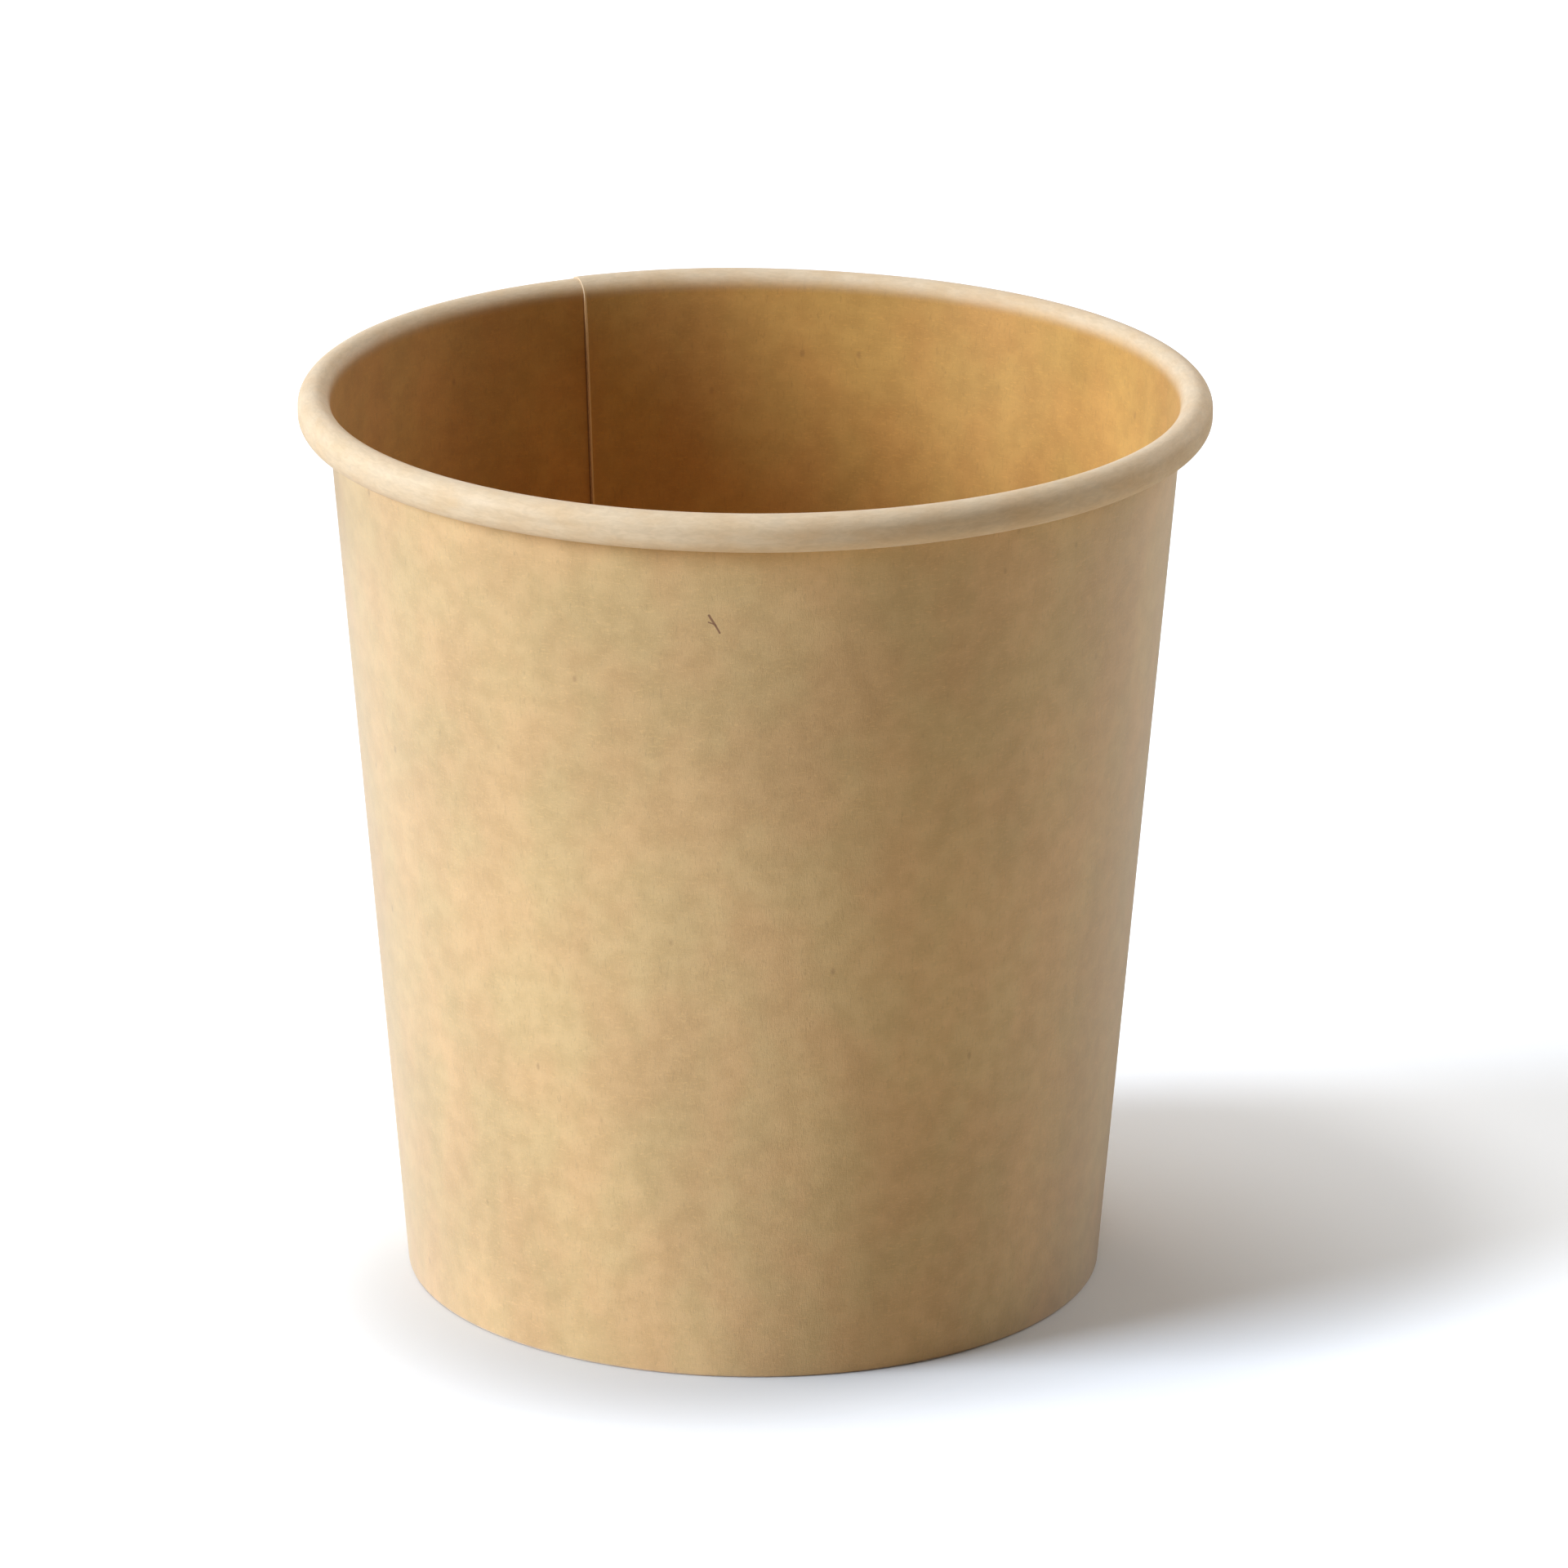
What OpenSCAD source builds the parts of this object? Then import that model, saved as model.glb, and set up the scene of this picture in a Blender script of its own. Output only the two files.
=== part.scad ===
// Paper soup cup: a rolled sidewall blank with a lapped seam, a curled rim and
// a folded foot, and a separate bottom disc whose skirt is held in that fold.
// Millimetres, Z up, origin on the table at the middle of the foot.

/* [Cup] */
// Outer diameter over the rolled rim
rim_d = 98; // [90:1:112]
// Height from the table to the top of the rim
cup_h = 99; // [70:1:130]
// Outer diameter of the sidewall where it meets the table
foot_d = 76; // [70:1:84]

/* [Board] */
// Thickness of the sidewall board
board_t = 0.38; // [0.3:0.01:0.5]
// Thickness of the bottom disc's board
disc_t = 0.32; // [0.25:0.01:0.45]

/* [Rim] */
// Radial width of the rolled rim
curl_w = 3.5; // [3:0.1:4.4]
// Height of the rolled rim
curl_h = 4; // [3.8:0.1:5]
// How far the board's edge is rolled on inside the rim, past the wall
curl_tuck = 50; // [20:5:80]
// Gap between the rolled edge and the outside of the wall
curl_gap = 0.06; // [0.04:0.01:0.12]

/* [Foot] */
// Height of the bottom disc's underside above the table
recess_h = 6.5; // [5:0.5:9]
// Height of the hem that is folded up inside the foot
hem_h = 5; // [3.5:0.5:5]
// Inside radius of each bend of the foot's fold
fold_r = 0.06; // [0.03:0.01:0.1]
// Bend radius of the disc's skirt, at the middle of its board
skirt_bend_r = 0.8; // [0.5:0.1:1.5]
// Height of the skirt's cut edge above the inside of the fold
skirt_lift = 0.3; // [0.15:0.05:1]
// Glue gap on each side of the skirt
skirt_gap = 0.02; // [0.015:0.005:0.06]

/* [Seam] */
// Width of the lapped and glued seam, at the rim
lap_w = 8; // [5:0.5:12]
// Direction of the seam's inner edge, from +X
seam_angle = 115; // [0:5:355]
// How much the glued lap is squeezed thinner than two boards
lap_squeeze = 0.04; // [0.03:0.01:0.08]
// Clear height from the disc to where the inner layer of the lap begins
lap_clear = 0.6; // [0.4:0.1:2]
// Height over which the wall steps in behind the lap
jog_h = 2; // [1:0.5:4]

/* [Hidden] */

arc_step = 20;      // degrees between the points of an arc
lap_curl_end = 140; // the lap's inner layer stops here on the lower half of the curl
settle_steps = 4;   // the single board settles back behind the lap in this many steps
settle_deg = 8;     // degrees of one such step
overlap_deg = 1;    // neighbouring stretches run this far into each other
root_d = 0.1;       // how deep a layer of the lap is rooted in the board
kraft = [0.80, 0.64, 0.45];
kraft_disc = [0.76, 0.60, 0.42];

// The rolled rim: a large upper arc, a short straight side and a smaller lower arc
curl_r = curl_w / 2 - board_t / 2;
tuck_r = curl_w / 2 - board_t - curl_gap / 2;
curl_side = curl_h - curl_w / 2 - board_t / 2 - tuck_r;
curl_c = [rim_d / 2 - curl_w / 2, cup_h - curl_w / 2];
tuck_c = [curl_c.x + curl_r - tuck_r, curl_c.y - curl_side];

// The wall leans out from the foot's edge to run tangent into the curl
to_curl = curl_c - [foot_d / 2, 0];
lean = atan2(to_curl.x, to_curl.y) - asin((curl_w / 2 - board_t) / norm(to_curl));
inward = [-cos(lean), sin(lean)];

// The foot's fold: wall, skirt and hem lie side by side, square to the wall
pocket_w = disc_t + 2 * skirt_gap;
fold_mid_r = fold_r + board_t / 2;
fold_z = board_t / 2 + fold_mid_r;
lap_z = recess_h + disc_t + lap_clear;
skirt_end_z = board_t + skirt_lift;
skirt_depth = board_t + skirt_gap + disc_t / 2;
bend_z = recess_h + disc_t / 2 - skirt_bend_r;

// The lap
lap_step = board_t - lap_squeeze;
lap_deg = lap_w / (rim_d / 2) * 180 / PI;

// How far the board still stands in at a step beside the lap
function settled(i) = lap_step * (1 - (i - 0.5) / settle_steps);

// Point of the wall at height z, at depth d square in from its outer surface
function wall_point(d, z) = [foot_d / 2 + z * tan(lean) - d / cos(lean), z];

// Angles from a to b, both included, evenly spaced and no more than arc_step apart
function angles(a, b) =
    let (n = ceil(abs(b - a) / arc_step))
    [for (i = [0 : n]) a + (b - a) * i / n];

// An arc about c as pairs of a point and the way to the board's inner side.
// side is 1 where that side faces away from c, and -1 where it faces c.
function arc(c, r, a, b, side) =
    [for (t = angles(a, b)) [c + r * [cos(t), sin(t)], side * [cos(t), sin(t)]]];

// The board's middle line: the foot's fold, then the roll, which ends at an angle
function foot_run() = concat(
    [[wall_point(board_t * 1.5 + pocket_w, hem_h), -inward]],
    arc(wall_point(board_t * 1.5 + pocket_w - fold_mid_r, fold_z), fold_mid_r, 180 - lean, 270, -1),
    arc(wall_point(board_t / 2 + fold_mid_r, fold_z), fold_mid_r, 270, 360 - lean, -1)
);
function roll_run(end) = concat(
    arc(curl_c, curl_r, 180 - lean, 0, 1),
    arc(tuck_c, tuck_r, 0, end, 1)
);

// A run of the board moved d to its inner side
function moved(run, d) = [for (p = run) p[0] + d * p[1]];
function reversed(list) = [for (i = [len(list) - 1 : -1 : 0]) list[i]];

// Section of the single board
module board_section() {
    run = concat(foot_run(), roll_run(-180 - curl_tuck));
    polygon(concat(moved(run, board_t / 2), reversed(moved(run, -board_t / 2))));
}

// Section of a layer of height h on the wall's inner face and over the roll.
// It is rooted in the board. Each layer i ends a little short of the one before.
module layer_section(h, i) {
    root = board_t / 2 - root_d * (1 + i / 10);
    run = concat([[wall_point(board_t / 2, lap_z + jog_h), inward]], roll_run(3 * i - lap_curl_end));
    start = wall_point(board_t / 2, lap_z) + root * inward;
    polygon(concat([start], moved(run, board_t / 2 + h), reversed(moved(run, root))));
}

// Section of a groove of depth h in the wall's outer face
module groove_section(h, i) {
    over = curl_gap / 2 * (1 - i / 10);
    top = tuck_c.y - tuck_r - i / 20;
    polygon([
        wall_point(-over, lap_z),
        wall_point(h, lap_z + jog_h),
        wall_point(h, top),
        wall_point(-over, top)
    ]);
}

// Turns a section clockwise through an angle that starts behind the seam's edge
module turned(start, sweep)
    rotate([0, 0, seam_angle - start - sweep])
        rotate_extrude(angle = sweep, $fn = 240)
            children();

// One blank: double in the lap, then settling back to the plain wall beside it
module sidewall()
    color(kraft)
        difference() {
            union() {
                rotate_extrude($fn = 240) board_section();
                turned(0, lap_deg) layer_section(lap_step, 0);
                for (i = [1 : settle_steps])
                    turned(lap_deg + (i - 1) * settle_deg - overlap_deg, settle_deg + overlap_deg)
                        layer_section(settled(i), i);
            }
            for (i = [1 : settle_steps])
                turned(lap_deg + (i - 1) * settle_deg - (i > 1 ? overlap_deg : 0),
                       settle_deg + (i > 1 ? overlap_deg : 0))
                    groove_section(settled(i), i);
        }

// The skirt's outer face, or its inner one, from the flat disc down to the cut edge
function skirt_side(d) =
    [for (p = concat(
        arc(wall_point(skirt_depth + skirt_bend_r, bend_z), skirt_bend_r, 90, -lean, 1),
        [[wall_point(skirt_depth, skirt_end_z), -inward]]
    )) p[0] + d * p[1]];

// Second blank: a flat disc with its edge turned down into the foot's fold
module bottom_disc()
    color(kraft_disc)
        rotate_extrude($fn = 240)
            polygon(concat(
                [[0, recess_h], [0, recess_h + disc_t]],
                skirt_side(disc_t / 2),
                reversed(skirt_side(-disc_t / 2))
            ));

sidewall();
bottom_disc();
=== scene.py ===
"""Paper soup cup: models the wrapped sidewall and its bottom disc, and sets up the studio."""
import math
import bmesh
import bpy
from bpy.props import FloatProperty, FloatVectorProperty, IntProperty, PointerProperty
from mathutils import Matrix, Vector


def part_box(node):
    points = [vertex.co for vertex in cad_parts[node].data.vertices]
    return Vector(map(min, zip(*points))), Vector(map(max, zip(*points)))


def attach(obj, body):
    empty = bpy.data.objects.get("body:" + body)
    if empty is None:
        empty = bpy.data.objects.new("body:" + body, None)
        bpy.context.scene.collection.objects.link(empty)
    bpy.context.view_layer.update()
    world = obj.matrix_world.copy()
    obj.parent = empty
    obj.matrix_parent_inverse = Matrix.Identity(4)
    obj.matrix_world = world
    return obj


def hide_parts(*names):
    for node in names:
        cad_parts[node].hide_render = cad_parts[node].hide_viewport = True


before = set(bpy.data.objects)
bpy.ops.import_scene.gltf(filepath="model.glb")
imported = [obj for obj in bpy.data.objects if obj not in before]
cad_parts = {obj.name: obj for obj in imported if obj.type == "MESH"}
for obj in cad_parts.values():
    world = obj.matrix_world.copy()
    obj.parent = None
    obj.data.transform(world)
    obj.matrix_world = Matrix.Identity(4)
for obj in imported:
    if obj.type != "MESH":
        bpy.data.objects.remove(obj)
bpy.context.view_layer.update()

bl_info = {
    "name": "Paper Soup Cup",
    "version": (1, 0, 0),
    "blender": (4, 5, 0),
    "location": "3D Viewport > Sidebar > Soup Cup",
    "description": "Builds a kraft paper soup cup from its board, and its studio",
    "category": "Add Mesh",
}

DISC_LOW, DISC_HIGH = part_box("bottom_disc")

# How many stretches draw each part of the sidewall's section, from the hem to the tucked edge.
HEM_STEPS, FOLD_STEPS, WALL_STEPS, ROLL_STEPS, ROLL_SIDE_STEPS, TUCK_STEPS = 5, 8, 30, 22, 3, 26

# The same for the disc's section, and for one turn of the disc.
FLAT_STEPS, BEND_STEPS, SKIRT_STEPS, DISC_TURNS = 14, 8, 4, 180

# Where the lap's step changes sides: round the fold in halves of its length, up to this height on the wall,
# then up the wall in metres, and along the roll in shares of its length.
FOLD_LAP, FOLD_LAP_END = (0.7, 1.6), 0.006
WALL_LAP = (0.007, 0.016)
ROLL_LAP = (0.58, 0.86)

# The seam's lifted edge lies back on the wall over this angle, and over this length below the roll.
EDGE_TURN = 0.05
EDGE_BELOW_ROLL = 0.003

# The press on the rolled lap sets in over this length on each side of the roll's start.
ROLL_PRESS_REACH = 0.0015

# The rim's small waves: in height in metres, and in roundness as a share of the radius, each with its phase,
# and the shares of the cup's height between which they grow to their full size.
TILT, TILT_AT = 0.00010, -math.radians(150)
WAVE, WAVE_AT = 0.00007, 0.6
OVAL, OVAL_AT = 0.0012, -0.8
TRIANGLE, TRIANGLE_AT = 0.0006, 0.5
RIM_WAVE_GROWS = (0.2, 1.0)
TRIANGLE_GROWS = (0.05, 0.5)

# Where the coating and the cut edge begin and end to whiten, along the board from the roll's start.
COATING_WHITENS = (-0.0006, 0.0013)
EDGE_WHITENS = (-0.0010, 0.0006)

# Strips on the coated side: how far before the seam's edge the painted shadow of the slit sets in, and how wide the
# painted highlight on the edge is.
SLIT_SHADOW_LINE = (0.00020, 0.00010)
EDGE_HIGHLIGHT_LINE = (0.00022, 0.00014)

# The one dark fibre on the front: its height, its direction, and its strokes with their widths.
FIBRE_HEIGHT = 0.0865
FIBRE_AT = math.radians(264.9)
FIBRE_STROKES = (
    ((0.00055, 0.00095), (-0.00010, -0.00015), 0.00026),
    ((-0.00010, -0.00015), (-0.00052, -0.00095), 0.00022),
    ((0.00060, 0.00020), (-0.00005, -0.00005), 0.00016),
)

# The disc's skirt leans as the wall does, and its line ends this share of its board above the piece's box.
SKIRT_LEAN = math.radians(4.6)
SKIRT_LIFT = 0.1

# How far the middle of the disc sags.
DISC_SAG = 0.00035

# The floor: half its width, where its tone changes, its darker tone near the foot, which is a painted
# shadow round the foot, its tone beyond, and the colour that it sends back to the cup.
FLOOR_HALF = 3.0
NEAR_SHIFT = (0.006, 0.010, 0.0)
NEAR_REACH = (0.026, 0.056)
FLOOR_PAINTED_SHADOW, FLOOR_FAR, FLOOR_BOUNCE = (0.72, 0.72, 0.71), (1.22, 1.235, 1.25), (0.74, 0.64, 0.50)

# Each light's direction from +X, its height and its width, in degrees.
LIGHTS = (
    ("key", 193, 69, 12),
    ("top", 138, 75, 28),
    ("side", 199, 21, 28),
    ("front", 262, 20, 16),
    ("back", 31, 29, 40),
)
WHITE = (1.0, 1.0, 1.0)
SENSOR_WIDTH = 36.0
CAMERA_REACH = 20.0
SHARP_ANGLE = math.radians(38)
MERGE_DISTANCE = 1e-6


def length(name, description, default):
    return FloatProperty(name=name, description=description, default=default, unit="LENGTH", precision=5)


def angle(name, description, degrees):
    return FloatProperty(name=name, description=description, default=math.radians(degrees), subtype="ANGLE")


def colour(name, description, default):
    return FloatVectorProperty(
        name=name, description=description, default=default, subtype="COLOR", size=3, min=0.0, max=1.0
    )


def share(name, description, default):
    return FloatProperty(name=name, description=description, default=default, min=0.0, max=2.0, subtype="FACTOR")


def brightness(name, which, default):
    return share(name, f"How brightly the {which} lights a white card that faces it", default)


class CupSizes(bpy.types.PropertyGroup):
    rim_d: length("Rim Diameter", "Outer diameter over the rolled rim", 0.098)
    cup_h: length("Height", "From the table to the top of the rim", 0.0991)
    foot_d: length("Foot Diameter", "Outer diameter where the wall meets the table", 0.0759)
    board_t: length("Board", "Thickness of the sidewall board", 0.00038)
    disc_t: length("Disc Board", "Thickness of the bottom disc's board", 0.00032)
    curl_w: length("Roll Width", "Radial width of the rolled rim", 0.0035)
    curl_h: length("Roll Height", "Height of the rolled rim", 0.0040)
    curl_gap: length("Roll Gap", "From the rolled edge to the outside of the wall", 0.00008)
    curl_tuck: angle("Roll Tuck", "How far the edge is rolled on inside the rim", 50)
    recess_h: length("Recess", "Height of the disc's underside above the table", 0.0065)
    hem_h: length("Hem", "Height of the hem folded up inside the foot", 0.005)
    fold_r: length("Fold Radius", "Inside radius of each bend of the fold", 0.00006)
    bend_r: length("Skirt Bend", "Bend radius of the disc's skirt", 0.0008)
    skirt_gap: length("Glue Gap", "Gap on each side of the skirt", 0.00002)
    lap_w: length("Lap Width", "Width of the glued seam at the rim", 0.008)
    lap_squeeze: length("Lap Squeeze", "How much thinner the glued lap is than two boards", 0.00001)
    roll_press: share("Roll Press", "How much of the lap's step is pressed flat on the roll", 0.5)
    edge_lift: length("Edge Lift", "How far the seam's inner edge stands off the wall", 0.00010)
    seam_at: angle("Seam Direction", "Direction of the seam's inner edge, from +X", 115)
    settle: angle("Settling", "Angle over which the board settles back beside the lap", 34)
    turns: IntProperty(name="Turns", description="Stretches of board round the cup", default=250, min=48, max=600)


class CupFinishes(bpy.types.PropertyGroup):
    outside: colour("Outside", "Uncoated kraft board", (0.612, 0.392, 0.160))
    inside: colour("Inside", "Kraft board under its clear coating", (0.555, 0.284, 0.057))
    rolled: colour("Rolled", "Coating whitened by the rolling of the rim", (0.680, 0.518, 0.335))
    cut: colour("Cut Edge", "Raw edge of the board", (0.660, 0.400, 0.170))
    # Painted highlight: a pale strip on the coated side that stands in for the seam's lapped edge catching the
    # light.
    edge_highlight: colour("Edge Highlight", "Highlighted edge of the coated side at the seam", (0.860, 0.580, 0.270))
    disc: colour("Disc", "Board of the bottom disc", (0.540, 0.300, 0.085))
    fibre: colour("Dark Fibre", "Single dark fibres in the pulp", (0.190, 0.070, 0.018))
    gloss: share("Outside Roughness", "Roughness of the uncoated side", 0.45)
    satin: share("Inside Roughness", "Roughness of the coated side", 0.50)


class CupStudio(bpy.types.PropertyGroup):
    lens: FloatProperty(
        name="Lens", description="Focal length on a 36 mm sensor", default=223.2, min=1.0, unit="CAMERA"
    )
    distance: length("Distance", "From the camera to its target", 1.05598)
    target_x: length("Target X", "Sideways place of the camera's target", 0.003234)
    target_z: length("Target Height", "Height of the camera's target", 0.05417)
    elevation: angle("Elevation", "How far the camera looks down", 18.37)
    roll: angle("Roll", "How far the camera is turned about its view", 0.198)
    sky: share("Sky", "Brightness of the white surroundings on the object", 0.04)
    key: brightness("Key Light", "high, small light", 0.20)
    top: brightness("Top Light", "wide light overhead", 0.29)
    side: brightness("Side Light", "low light on the left", 1.00)
    side_tint: colour("Side Tint", "Colour of the low light on the left", (0.745, 0.850, 1.0))
    front: brightness("Front Light", "light beside the camera", 0.04)
    back: brightness("Back Light", "light behind on the right", 0.30)


def smooth(low, high, x):
    t = min(max((x - low) / (high - low), 0.0), 1.0)
    return t * t * (3 - 2 * t)


def shade(base, *factors):
    """A colour times one factor, or times one for each channel, and at most 1."""
    factors = factors * 3 if len(factors) == 1 else factors
    return tuple(min(c * f, 1.0) for c, f in zip(base, factors))


class Board:
    """Draws a board's middle line in the XZ plane, then turns it round the Z axis."""

    def __init__(self, start):
        self.bm = bmesh.new()
        self.along = self.bm.verts.layers.float.new("along")
        self.around = self.bm.verts.layers.float.new("around")
        self.blank = self.bm.verts.layers.float_vector.new("blank")
        self.line = [self.bm.verts.new((start[0], 0.0, start[1]))]

    def straight(self, to, steps=1):
        begin = self.line[-1].co.copy()
        for i in range(1, steps + 1):
            made = bmesh.ops.extrude_vert_indiv(self.bm, verts=[self.line[-1]])["verts"][0]
            made.co = begin.lerp(Vector((to[0], 0.0, to[1])), i / steps)
            self.line.append(made)

    def bend(self, centre, turn, steps):
        middle = (centre[0], 0.0, centre[1])
        for _ in range(steps):
            made = bmesh.ops.spin(
                self.bm, geom=[self.line[-1]], cent=middle, axis=(0.0, -1.0, 0.0), angle=turn / steps, steps=1
            )["geom_last"]
            self.line.append(next(g for g in made if isinstance(g, bmesh.types.BMVert)))

    def turn(self, start, sweep, steps, close):
        """Sweeps the line clockwise, and writes how far along it and how far round each point lies."""
        bm, along, around = self.bm, self.along, self.around
        run = 0.0
        for i, v in enumerate(self.line):
            run += (v.co - self.line[i - 1].co).length if i else 0.0
            v[along] = run
        bmesh.ops.rotate(bm, verts=bm.verts, matrix=Matrix.Rotation(start, 3, "Z"))
        section = list(bm.verts) + list(bm.edges)
        for i in range(steps):
            section = bmesh.ops.spin(
                bm, geom=section, cent=(0, 0, 0), axis=(0, 0, -1), angle=sweep / steps, steps=1
            )["geom_last"]
            for g in section:
                if isinstance(g, bmesh.types.BMVert):
                    g[around] = sweep * (i + 1) / steps
        if close:
            bmesh.ops.remove_doubles(bm, verts=bm.verts, dist=MERGE_DISTANCE)


def turn_normals(bm, towards):
    """Turns the sheet so that its normals point the way that towards gives for a place on it."""
    bmesh.ops.recalc_face_normals(bm, faces=bm.faces)
    bm.normal_update()
    face = max(bm.faces, key=lambda f: f.calc_area())
    if face.normal.dot(towards(face.calc_center_median())) < 0:
        bmesh.ops.reverse_faces(bm, faces=bm.faces)
    bm.normal_update()


def finish_sheet(name, bm, thickness, materials, node):
    """Makes a piece of the sheet: gives it its thickness, its materials and its place in the frame."""
    mesh = bpy.data.meshes.new(name)
    bm.to_mesh(mesh)
    bm.free()
    for m in materials:
        mesh.materials.append(m)
    piece = bpy.data.objects.new(name, mesh)
    bpy.context.collection.objects.link(piece)
    solid = piece.modifiers.new("Board", "SOLIDIFY")
    solid.thickness = thickness
    solid.offset = 0.0
    solid.use_even_offset = False
    solid.use_rim = True
    solid.material_offset = 1
    solid.material_offset_rim = 2
    evaluated = piece.evaluated_get(bpy.context.evaluated_depsgraph_get())
    thick = bpy.data.meshes.new_from_object(evaluated)
    piece.modifiers.clear()
    piece.data = thick
    thick.name = name
    thick.polygons.foreach_set("use_smooth", [True] * len(thick.polygons))
    thick.set_sharp_from_angle(angle=SHARP_ANGLE)
    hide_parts(node)
    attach(piece, "root")


class Nodes:
    """Adds and joins the nodes of a material, or of the world."""

    def __init__(self, owner):
        owner.use_nodes = True
        self.owner = owner
        self.tree = owner.node_tree
        self.tree.nodes.clear()

    def node(self, kind, inputs=None, **settings):
        n = self.tree.nodes.new(kind)
        for k, v in settings.items():
            setattr(n, k, v)
        for k, v in (inputs or {}).items():
            if isinstance(v, bpy.types.NodeSocket):
                self.tree.links.new(v, n.inputs[k])
            else:
                n.inputs[k].default_value = v
        return n

    def math(self, operation, a, b=0.0, clamp=False):
        return self.node("ShaderNodeMath", {0: a, 1: b}, operation=operation, use_clamp=clamp).outputs[0]

    def times(self, a, b):
        return self.math("MULTIPLY", a, b)

    def vector(self, operation, inputs, output=0):
        return self.node("ShaderNodeVectorMath", inputs, operation=operation).outputs[output]

    def place(self):
        return self.node("ShaderNodeTexCoord").outputs["Object"]

    def blank(self):
        """How far round the blank and how far up it, in metres."""
        return self.node("ShaderNodeAttribute", attribute_name="blank").outputs["Vector"]

    def part(self, vector, index):
        return self.node("ShaderNodeSeparateXYZ", {0: vector}).outputs[index]

    def scaled(self, vector, scale, turn=0.0, shift=(0.0, 0.0, 0.0)):
        inputs = {"Vector": vector, "Location": shift, "Rotation": (0.0, 0.0, turn), "Scale": scale}
        return self.node("ShaderNodeMapping", inputs).outputs[0]

    def noise(self, vector, scale, detail, rough, bend=0.0):
        inputs = {"Vector": vector, "Scale": scale, "Detail": detail, "Roughness": rough, "Distortion": bend}
        return self.node("ShaderNodeTexNoise", inputs).outputs["Fac"]

    def spread(self, value, low, high, to_low=0.0, to_high=1.0):
        inputs = {"Value": value, "From Min": low, "From Max": high, "To Min": to_low, "To Max": to_high}
        return self.node("ShaderNodeMapRange", inputs, interpolation_type="SMOOTHSTEP").outputs[0]

    def mix(self, fac, a, b, blend="MIX"):
        made = self.node("ShaderNodeMix", data_type="RGBA", blend_type=blend, clamp_factor=True)
        for slot, value in ((0, fac), (6, a), (7, b)):
            if isinstance(value, bpy.types.NodeSocket):
                self.tree.links.new(value, made.inputs[slot])
            else:
                made.inputs[slot].default_value = value if slot == 0 else (*value, 1.0)
        return made.outputs[2]

    def surface(self, tone, rough, height, bump, **sockets):
        """Ends a material; bump is its strength and its distance in metres."""
        inputs = {"Height": height, "Strength": bump[0], "Distance": bump[1]}
        bumped = self.node("ShaderNodeBump", inputs).outputs[0]
        body = self.node("ShaderNodeBsdfPrincipled", {"Base Color": tone, "Roughness": rough, "Normal": bumped})
        for k, v in sockets.items():
            body.inputs[k.replace("_", " ")].default_value = v
        self.node("ShaderNodeOutputMaterial", {"Surface": body.outputs[0]})
        return self.owner


def pulp(s, blank, base, fibre):
    """Clouds, fibres and specks of kraft pulp: their colour, their height and the clouds alone."""
    clouds = s.noise(s.scaled(blank, (1.0, 0.42, 1.0)), scale=70.0, detail=2.0, rough=0.5)
    drift = s.scaled(blank, (1.0, 0.7, 1.0), turn=0.4, shift=(0.31, 0.17, 0.0))
    warmth = s.noise(drift, scale=120.0, detail=3.0, rough=0.5)
    blotches = s.noise(blank, scale=360.0, detail=3.0, rough=0.5)
    lying = s.scaled(blank, (0.45, 1.6, 1.0), turn=0.5)
    level = s.noise(lying, scale=2600.0, detail=3.0, rough=0.6, bend=1.4)
    standing = s.scaled(blank, (1.7, 0.4, 1.0), turn=-0.35)
    cross = s.noise(standing, scale=2400.0, detail=3.0, rough=0.6, bend=1.2)
    fine = s.noise(blank, scale=9000.0, detail=2.0, rough=0.6)

    tone = s.mix(s.spread(clouds, 0.32, 0.68), shade(base, 0.91), shade(base, 1.06, 1.08, 1.14))
    patchy = s.mix(s.spread(blotches, 0.32, 0.68), (0.935, 0.925, 0.89), (1.05, 1.06, 1.09))
    tone = s.mix(1.0, tone, patchy, "MULTIPLY")
    ruddy_to_golden = s.mix(s.spread(warmth, 0.34, 0.66), (1.025, 0.975, 0.95), (0.98, 1.012, 0.985))
    tone = s.mix(1.0, tone, ruddy_to_golden, "MULTIPLY")
    tone = s.mix(s.times(s.spread(level, 0.50, 0.74), 0.38), tone, shade(base, 1.35))
    tone = s.mix(s.times(s.spread(cross, 0.52, 0.76), 0.38), tone, shade(base, 0.62))

    grid = s.scaled(blank, (1.0, 0.6, 1.0), turn=0.3)
    cells = s.node("ShaderNodeTexVoronoi", {"Vector": grid, "Scale": 420.0}, feature="F1").outputs
    speck = s.times(s.spread(cells["Distance"], 0.16, 0.05), s.spread(cells["Color"], 0.70, 0.80))
    tone = s.mix(s.times(speck, 0.32), tone, fibre)

    height = s.math("ADD", s.times(level, 0.6), s.times(cross, 0.5))
    height = s.math("ADD", height, s.times(fine, 0.35))
    return tone, height, clouds


def stroke(s, blank, start, end, width):
    """A soft mask along a short stroke on the blank, from start to end in metres."""
    run = Vector((end[0] - start[0], end[1] - start[1], 0.0))
    away = s.vector("SUBTRACT", {0: blank, 1: (start[0], start[1], 0.0)})
    run_share = s.vector("DOT_PRODUCT", {0: away, 1: tuple(run / run.length_squared)}, "Value")
    run_share = s.math("ADD", run_share, 0.0, clamp=True)
    nearest = s.vector("SCALE", {0: tuple(run), "Scale": run_share})
    off = s.vector("LENGTH", {0: s.vector("SUBTRACT", {0: away, 1: nearest})}, "Value")
    return s.spread(off, width * 0.62, width * 0.30)


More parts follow.
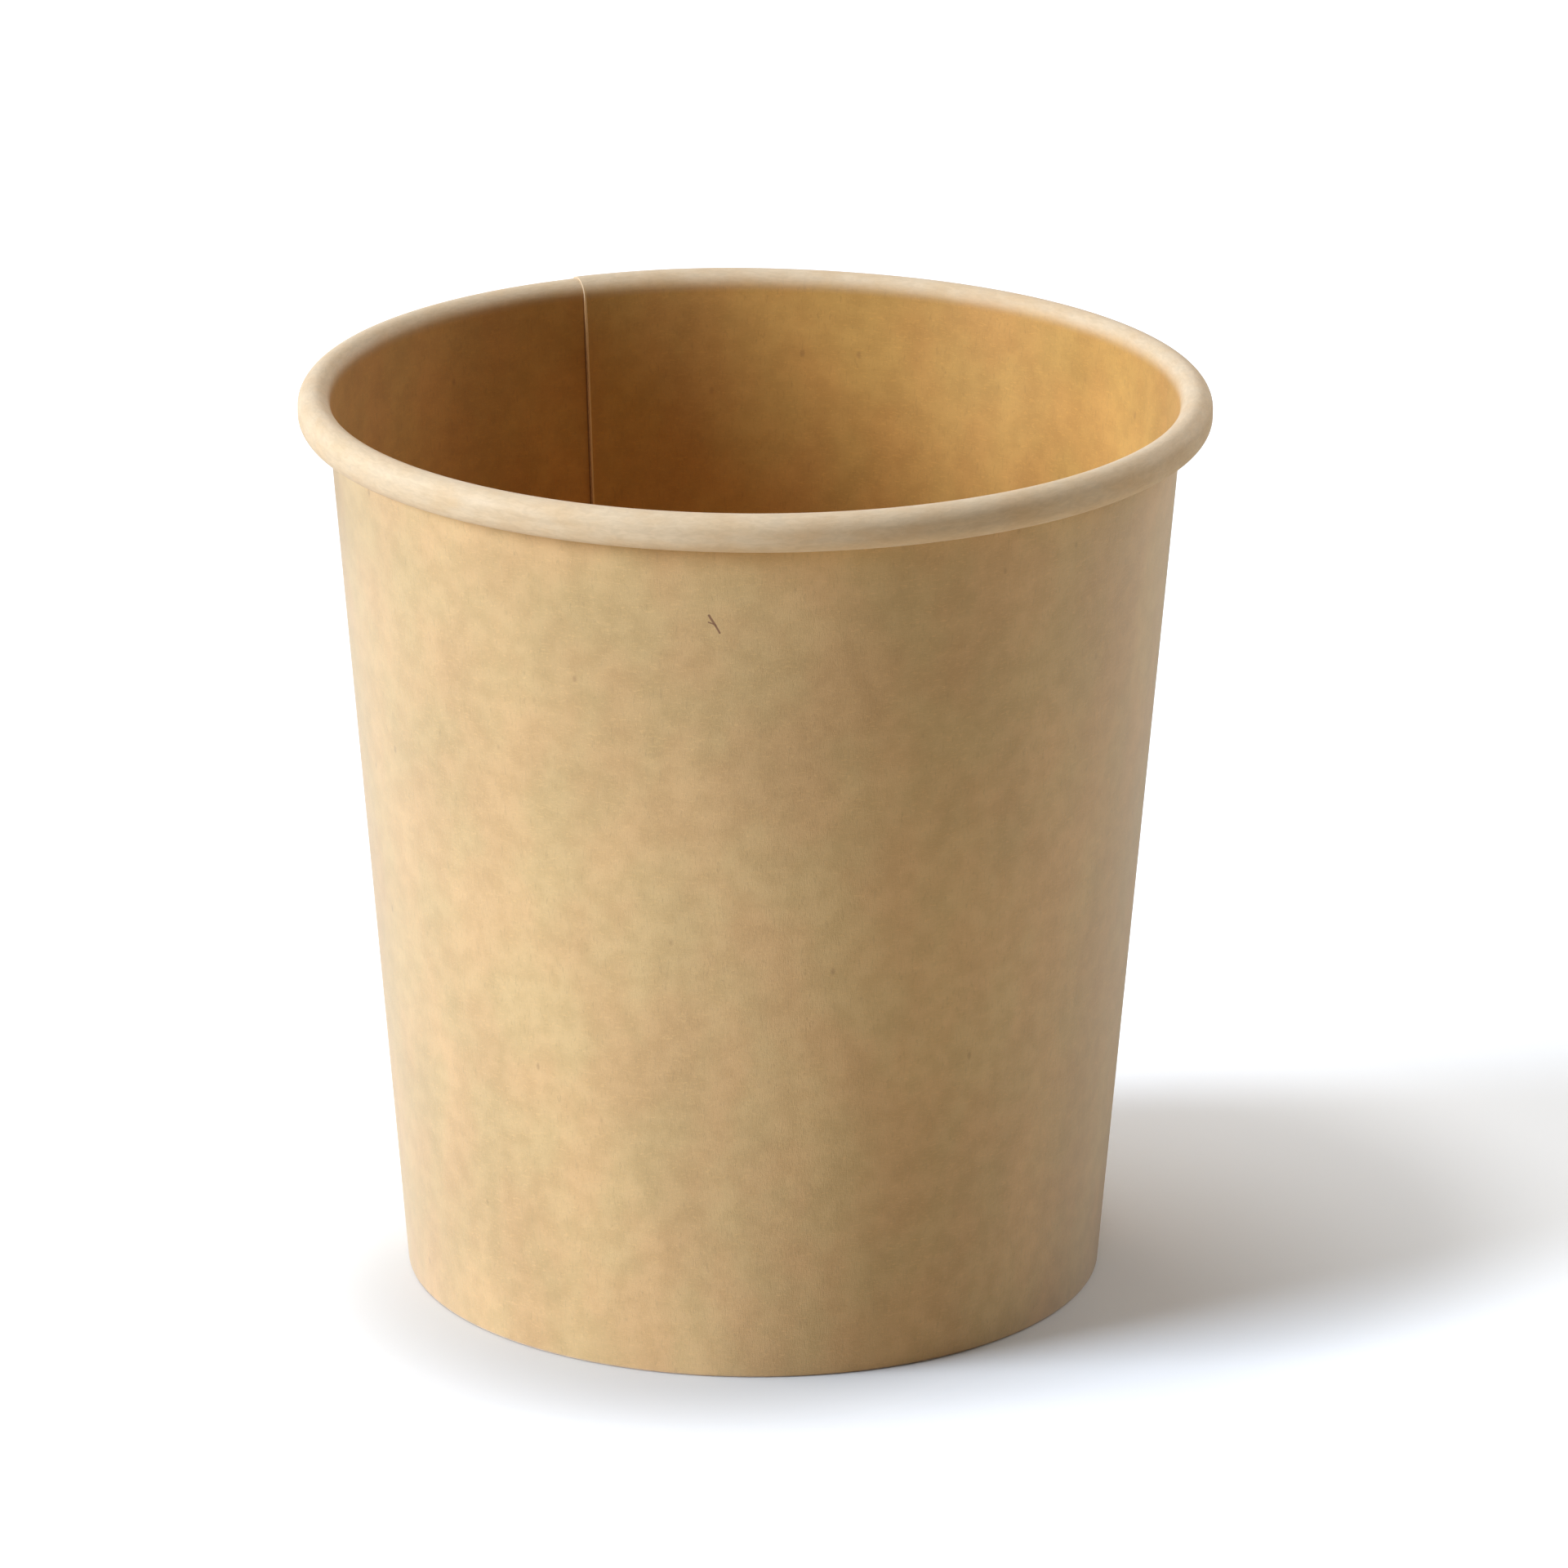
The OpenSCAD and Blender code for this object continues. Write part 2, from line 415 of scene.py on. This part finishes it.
def outside_board(fin, strokes):
    s = Nodes(bpy.data.materials.new("kraft_outside"))
    blank = s.blank()
    tone, height, clouds = pulp(s, blank, fin.outside, fin.fibre)
    for start, end, width in strokes:
        tone = s.mix(s.times(stroke(s, blank, start, end, width), 0.9), tone, fin.fibre)
    rough = s.spread(clouds, 0.3, 0.7, fin.gloss - 0.05, fin.gloss + 0.06)
    sockets = {"Specular_IOR_Level": 0.2, "Sheen_Weight": 0.62, "Sheen_Roughness": 0.6}
    return s.surface(tone, rough, height, (0.36, 0.00012), **sockets)


def coated_board(fin, seam, roll_start):
    """The coated side: whitened from the roll on, with a painted highlight on the seam's edge and a painted shadow
    of the slit beside it.
    """
    s = Nodes(bpy.data.materials.new("kraft_coated"))
    blank = s.blank()
    tone, height, clouds = pulp(s, blank, fin.inside, fin.fibre)
    streaks = s.noise(s.scaled(blank, (0.30, 1.0, 1.0)), scale=2600.0, detail=3.0, rough=0.6, bend=0.8)
    patches = s.noise(s.scaled(blank, (0.6, 1.0, 1.0)), scale=330.0, detail=4.0, rough=0.6)
    whitened = s.spread(s.part(blank, 1), *(roll_start + d for d in COATING_WHITENS))
    amount = s.times(whitened, s.spread(patches, 0.25, 0.70, 0.72, 1.0))
    pale = s.mix(s.spread(streaks, 0.30, 0.70), shade(fin.rolled, 0.93), shade(fin.rolled, 1.05))
    tone = s.mix(amount, tone, pale)

    across = s.part(blank, 0)
    brown = s.math("SUBTRACT", 1.0, whitened)
    # Painted shadow: a dark strip beside the seam's lifted edge stands in for the shade in the slit under it.
    slit_shadow = s.times(s.spread(across, seam - SLIT_SHADOW_LINE[0], seam - SLIT_SHADOW_LINE[1]), brown)
    tone = s.mix(s.times(slit_shadow, 0.6), tone, fin.fibre)
    # Painted highlight: the pale strip along the seam's edge stands in for that edge catching the light.
    tone = s.mix(s.times(s.spread(across, *EDGE_HIGHLIGHT_LINE), brown), tone, fin.edge_highlight)

    rough = s.spread(clouds, 0.3, 0.7, fin.satin - 0.05, fin.satin + 0.08)
    rough = s.math("ADD", rough, s.times(whitened, 0.12))
    height = s.math("ADD", s.times(height, 0.6), s.times(streaks, s.times(whitened, 0.25)))
    sockets = {"Specular_IOR_Level": 0.25, "Sheen_Weight": 0.12, "Sheen_Roughness": 0.75}
    return s.surface(tone, rough, height, (0.24, 0.0001), **sockets)


def cut_board(fin, roll_start=None):
    """The board's raw edge, whitened from the roll on where there is one."""
    s = Nodes(bpy.data.materials.new("kraft_cut_edge"))
    layers = s.noise(s.scaled(s.place(), (1.0, 1.0, 0.25)), scale=9000.0, detail=3.0, rough=0.6)
    tone = s.mix(s.spread(layers, 0.3, 0.7), shade(fin.cut, 0.8), shade(fin.cut, 1.15))
    if roll_start is not None:
        whitened = s.spread(s.part(s.blank(), 1), *(roll_start + d for d in EDGE_WHITENS))
        tone = s.mix(whitened, tone, fin.rolled)
    return s.surface(tone, 0.75, layers, (0.3, 0.00005), Specular_IOR_Level=0.3)


def disc_board(fin, name, rough):
    s = Nodes(bpy.data.materials.new(name))
    tone, height, clouds = pulp(s, s.place(), fin.disc, fin.fibre)
    rough = s.spread(clouds, 0.3, 0.7, rough - 0.05, rough + 0.06)
    return s.surface(tone, rough, height, (0.22, 0.0001), Specular_IOR_Level=0.25)


class CUP_OT_sidewall(bpy.types.Operator):
    """Wraps the sidewall blank: hem, fold, wall and rolled rim, lapped at the seam"""

    bl_idname = "cup.sidewall"
    bl_label = "Build Sidewall"
    bl_options = {"REGISTER", "UNDO"}

    def execute(self, context):
        z = context.scene.cup_sizes
        t = z.board_t
        curl_r = z.curl_w / 2 - t / 2
        tuck_r = z.curl_w / 2 - t - z.curl_gap / 2
        curl = Vector((z.rim_d / 2 - z.curl_w / 2, z.cup_h - z.curl_w / 2))
        tuck = Vector((curl.x + curl_r - tuck_r, curl.y - (z.curl_h - z.curl_w / 2 - t / 2 - tuck_r)))
        rise = curl - Vector((z.foot_d / 2, 0.0))
        lean = math.atan2(rise.x, rise.y) - math.asin((z.curl_w / 2 - t) / rise.length)

        def wall(depth, height):
            return (z.foot_d / 2 + height * math.tan(lean) - depth / math.cos(lean), height)

        pocket = z.disc_t + 2 * z.skirt_gap
        bend_r = z.fold_r + t / 2
        hem_c = wall(t * 1.5 + pocket - bend_r, t / 2 + bend_r)
        foot_c = wall(t / 2 + bend_r, t / 2 + bend_r)
        quarter = math.pi / 2

        board = Board(wall(t * 1.5 + pocket, z.hem_h))
        board.straight((hem_c[0] - bend_r * math.cos(lean), hem_c[1] + bend_r * math.sin(lean)), HEM_STEPS)
        board.bend(hem_c, quarter + lean, FOLD_STEPS)
        board.straight((foot_c[0], foot_c[1] - bend_r))
        board.bend(foot_c, quarter - lean, FOLD_STEPS)
        wall_begin = len(board.line) - 1
        wall_foot = board.line[-1].co.z
        board.straight((curl.x - curl_r * math.cos(lean), curl.y + curl_r * math.sin(lean)), WALL_STEPS)
        wall_end = len(board.line) - 1
        board.bend(curl, lean - math.pi, ROLL_STEPS)
        board.straight((tuck.x + tuck_r, tuck.y), ROLL_SIDE_STEPS)
        board.bend(tuck, -math.pi - z.curl_tuck, TUCK_STEPS)

        step = t - z.lap_squeeze
        lap = z.lap_w / (z.rim_d / 2)
        turn = 2 * math.pi
        bm, along, around, blank = board.bm, board.along, board.around, board.blank
        board.turn(z.seam_at, turn + lap, z.turns, False)
        turn_normals(bm, lambda c: Vector((-c.x, -c.y, 0.0)))

        marks = sorted(v[along] for v in bm.verts if v[around] == 0.0)
        wall_start, roll_start = marks[wall_begin], marks[wall_end]
        fold = (marks[HEM_STEPS] + wall_start) / 2
        fold_half = (wall_start - marks[HEM_STEPS]) / 2
        rolled = marks[-1] - roll_start

        def inner_share(s):
            """1 where the lap's step is on the coated side, 0 where it is on the outside."""
            if s < wall_start + FOLD_LAP_END:
                return 1 - smooth(fold_half * FOLD_LAP[0], fold_half * FOLD_LAP[1], abs(s - fold))
            if s < roll_start:
                return smooth(*WALL_LAP, s - wall_start)
            return 1 - smooth(*ROLL_LAP, (s - roll_start) / rolled)

        moves = []
        for v in bm.verts:
            s, a = v[along], v[around]
            share_in = inner_share(s)
            after = 1 - smooth(lap, lap + z.settle, a)
            before = smooth(turn - z.settle, turn, a)
            lift = 0.0
            if s > wall_start + FOLD_LAP_END:
                below_roll = 1 - smooth(roll_start - EDGE_BELOW_ROLL, roll_start, s)
                lift = z.edge_lift * (1 - smooth(0.0, EDGE_TURN, a)) * below_roll
            pressed = 1 - z.roll_press * smooth(-ROLL_PRESS_REACH, ROLL_PRESS_REACH, s - roll_start)
            shift = step * (share_in * after * pressed - (1 - share_in) * before) + lift
            moves.append((v, v.normal * shift))
        for v, move in moves:
            v.co += move

        for v in bm.verts:
            a = math.atan2(v.co.y, v.co.x)
            up = smooth(*RIM_WAVE_GROWS, v.co.z / z.cup_h)
            v.co.z += up * (TILT * math.cos(a + TILT_AT) + WAVE * math.cos(2 * a + WAVE_AT))
            triangle = TRIANGLE * smooth(*TRIANGLE_GROWS, v.co.z / z.cup_h)
            v.co.xy *= 1 + up * OVAL * math.cos(2 * a + OVAL_AT) + triangle * math.cos(3 * a + TRIANGLE_AT)

        mean_r = (z.rim_d + z.foot_d) / 4
        for v in bm.verts:
            v[blank] = (v[around] * mean_r, v[along], 0.0)

        up_wall = wall_start + (FIBRE_HEIGHT - wall_foot) / math.cos(lean)
        at = (turn - (FIBRE_AT - z.seam_at)) * mean_r
        strokes = [((at + x0, up_wall + y0), (at + x1, up_wall + y1), w) for (x0, y0), (x1, y1), w in FIBRE_STROKES]
        fin = context.scene.cup_finishes
        materials = [
            coated_board(fin, turn * mean_r, roll_start),
            outside_board(fin, strokes),
            cut_board(fin, roll_start),
        ]
        finish_sheet("cup_sidewall", bm, t, materials, "sidewall")
        return {"FINISHED"}


class CUP_OT_bottom_disc(bpy.types.Operator):
    """Draws the bottom disc with its edge turned down into the foot's fold"""

    bl_idname = "cup.bottom_disc"
    bl_label = "Build Bottom Disc"
    bl_options = {"REGISTER", "UNDO"}

    def execute(self, context):
        z = context.scene.cup_sizes
        t = z.disc_t
        middle_z = z.recess_h + t / 2
        out = DISC_HIGH.x - t / 2 - z.bend_r
        board = Board((0.0, middle_z))
        board.straight((out, middle_z), FLAT_STEPS)
        board.bend((out, middle_z - z.bend_r), -math.pi / 2 - SKIRT_LEAN, BEND_STEPS)
        foot = board.line[-1].co
        drop = foot.z - (DISC_LOW.z + t * SKIRT_LIFT)
        board.straight((foot.x - drop * math.tan(SKIRT_LEAN), foot.z - drop), SKIRT_STEPS)
        board.turn(0.0, 2 * math.pi, DISC_TURNS, True)
        turn_normals(board.bm, lambda c: Vector((0.0, 0.0, 1.0)))
        for v in board.bm.verts:
            v.co.z -= DISC_SAG * (1 - smooth(0.0, out, math.hypot(v.co.x, v.co.y)))
        fin = context.scene.cup_finishes
        materials = [
            disc_board(fin, "kraft_disc_coated", fin.satin),
            disc_board(fin, "kraft_disc_raw", fin.gloss),
            cut_board(fin),
        ]
        finish_sheet("cup_bottom_disc", board.bm, t, materials, "bottom_disc")
        return {"FINISHED"}


def soft_light(name, direction, height, width, bright, tint):
    """A far, round, soft light; a white card that faces it shows bright in its red channel."""
    data = bpy.data.lights.new(name, "SUN")
    data.angle = math.radians(width)
    data.energy = bright * math.pi / tint[0]
    data.color = tint
    lamp = bpy.data.objects.new(name, data)
    a, e = math.radians(direction), math.radians(height)
    away = Vector((math.cos(a) * math.cos(e), math.sin(a) * math.cos(e), math.sin(e)))
    lamp.location = away
    lamp.rotation_euler = away.to_track_quat("Z", "Y").to_euler()
    bpy.context.collection.objects.link(lamp)


class CUP_OT_studio(bpy.types.Operator):
    """Sets the white floor with a painted shadow round the foot, the soft lights, the surroundings and the camera
    """

    bl_idname = "cup.studio"
    bl_label = "Set Up Studio"
    bl_options = {"REGISTER", "UNDO"}

    def execute(self, context):
        self.floor(context)
        k = context.scene.cup_studio
        self.surroundings(context, k)
        for name, direction, height, width in LIGHTS:
            tint = k.side_tint if name == "side" else WHITE
            soft_light(f"{name}_light", direction, height, width, getattr(k, name), tint)
        self.camera(context, k)
        context.scene.view_settings.view_transform = "Standard"
        return {"FINISHED"}

    def floor(self, context):
        bm = bmesh.new()
        bmesh.ops.create_grid(bm, x_segments=1, y_segments=1, size=FLOOR_HALF)
        mesh = bpy.data.meshes.new("floor")
        bm.to_mesh(mesh)
        bm.free()
        floor = bpy.data.objects.new("floor", mesh)
        context.collection.objects.link(floor)
        s = Nodes(bpy.data.materials.new("floor_white_painted_shadow"))
        seen = s.node("ShaderNodeLightPath").outputs["Is Camera Ray"]
        reach = s.vector("LENGTH", {0: s.vector("ADD", {0: s.place(), 1: NEAR_SHIFT})}, "Value")
        # Painted shadow: to the camera the floor is darker near the foot, round a centre shifted from the axis, and
        # white beyond.
        white = s.mix(s.spread(reach, *NEAR_REACH), FLOOR_PAINTED_SHADOW, FLOOR_FAR)
        matt = s.node("ShaderNodeBsdfDiffuse", {"Color": s.mix(seen, FLOOR_BOUNCE, white)}).outputs[0]
        s.node("ShaderNodeOutputMaterial", {"Surface": matt})
        mesh.materials.append(s.owner)

    def surroundings(self, context, k):
        """White to the camera, to reflections and to clear things; on the object as bright as sky says."""
        s = Nodes(bpy.data.worlds.new("white_room"))
        context.scene.world = s.owner
        path = s.node("ShaderNodeLightPath").outputs
        direct = s.math("MAXIMUM", path["Is Camera Ray"], path["Is Glossy Ray"])
        direct = s.math("MAXIMUM", direct, path["Is Transmission Ray"])
        strength = s.node("ShaderNodeMapRange", {"Value": direct, "To Min": k.sky, "To Max": 1.0}).outputs[0]
        back = s.node("ShaderNodeBackground", {"Color": (*WHITE, 1.0), "Strength": strength}).outputs[0]
        s.node("ShaderNodeOutputWorld", {"Surface": back})

    def camera(self, context, k):
        data = bpy.data.cameras.new("camera")
        data.lens = k.lens
        data.sensor_width = SENSOR_WIDTH
        data.clip_end = CAMERA_REACH
        camera = bpy.data.objects.new("camera", data)
        back, rise = k.distance * math.cos(k.elevation), k.distance * math.sin(k.elevation)
        camera.location = (k.target_x, -back, k.target_z + rise)
        tilt = Matrix.Rotation(math.pi / 2 - k.elevation, 3, "X")
        camera.rotation_euler = (tilt @ Matrix.Rotation(k.roll, 3, "Z")).to_euler()
        context.collection.objects.link(camera)
        context.scene.camera = camera


class CUP_PT_panel(bpy.types.Panel):
    """Lists the cup's sizes and finishes, and what builds each piece"""

    bl_idname = "CUP_PT_panel"
    bl_label = "Soup Cup"
    bl_space_type = "VIEW_3D"
    bl_region_type = "UI"
    bl_category = "Soup Cup"

    def draw(self, context):
        layout = self.layout
        layout.use_property_split = True
        for title, group in (("Sizes", "cup_sizes"), ("Finishes", "cup_finishes"), ("Studio", "cup_studio")):
            box = layout.box()
            box.label(text=title)
            values = getattr(context.scene, group)
            for name in values.__annotations__:
                box.prop(values, name)
        for maker in (CUP_OT_sidewall, CUP_OT_bottom_disc, CUP_OT_studio):
            layout.operator(maker.bl_idname)


CLASSES = (CupSizes, CupFinishes, CupStudio, CUP_OT_sidewall, CUP_OT_bottom_disc, CUP_OT_studio, CUP_PT_panel)


def register():
    for c in CLASSES:
        bpy.utils.register_class(c)
    bpy.types.Scene.cup_sizes = PointerProperty(type=CupSizes)
    bpy.types.Scene.cup_finishes = PointerProperty(type=CupFinishes)
    bpy.types.Scene.cup_studio = PointerProperty(type=CupStudio)


def unregister():
    del bpy.types.Scene.cup_sizes, bpy.types.Scene.cup_finishes, bpy.types.Scene.cup_studio
    for c in reversed(CLASSES):
        bpy.utils.unregister_class(c)


def main():
    register()
    bpy.ops.cup.sidewall()
    bpy.ops.cup.bottom_disc()
    bpy.ops.cup.studio()


if __name__ == "__main__":
    main()
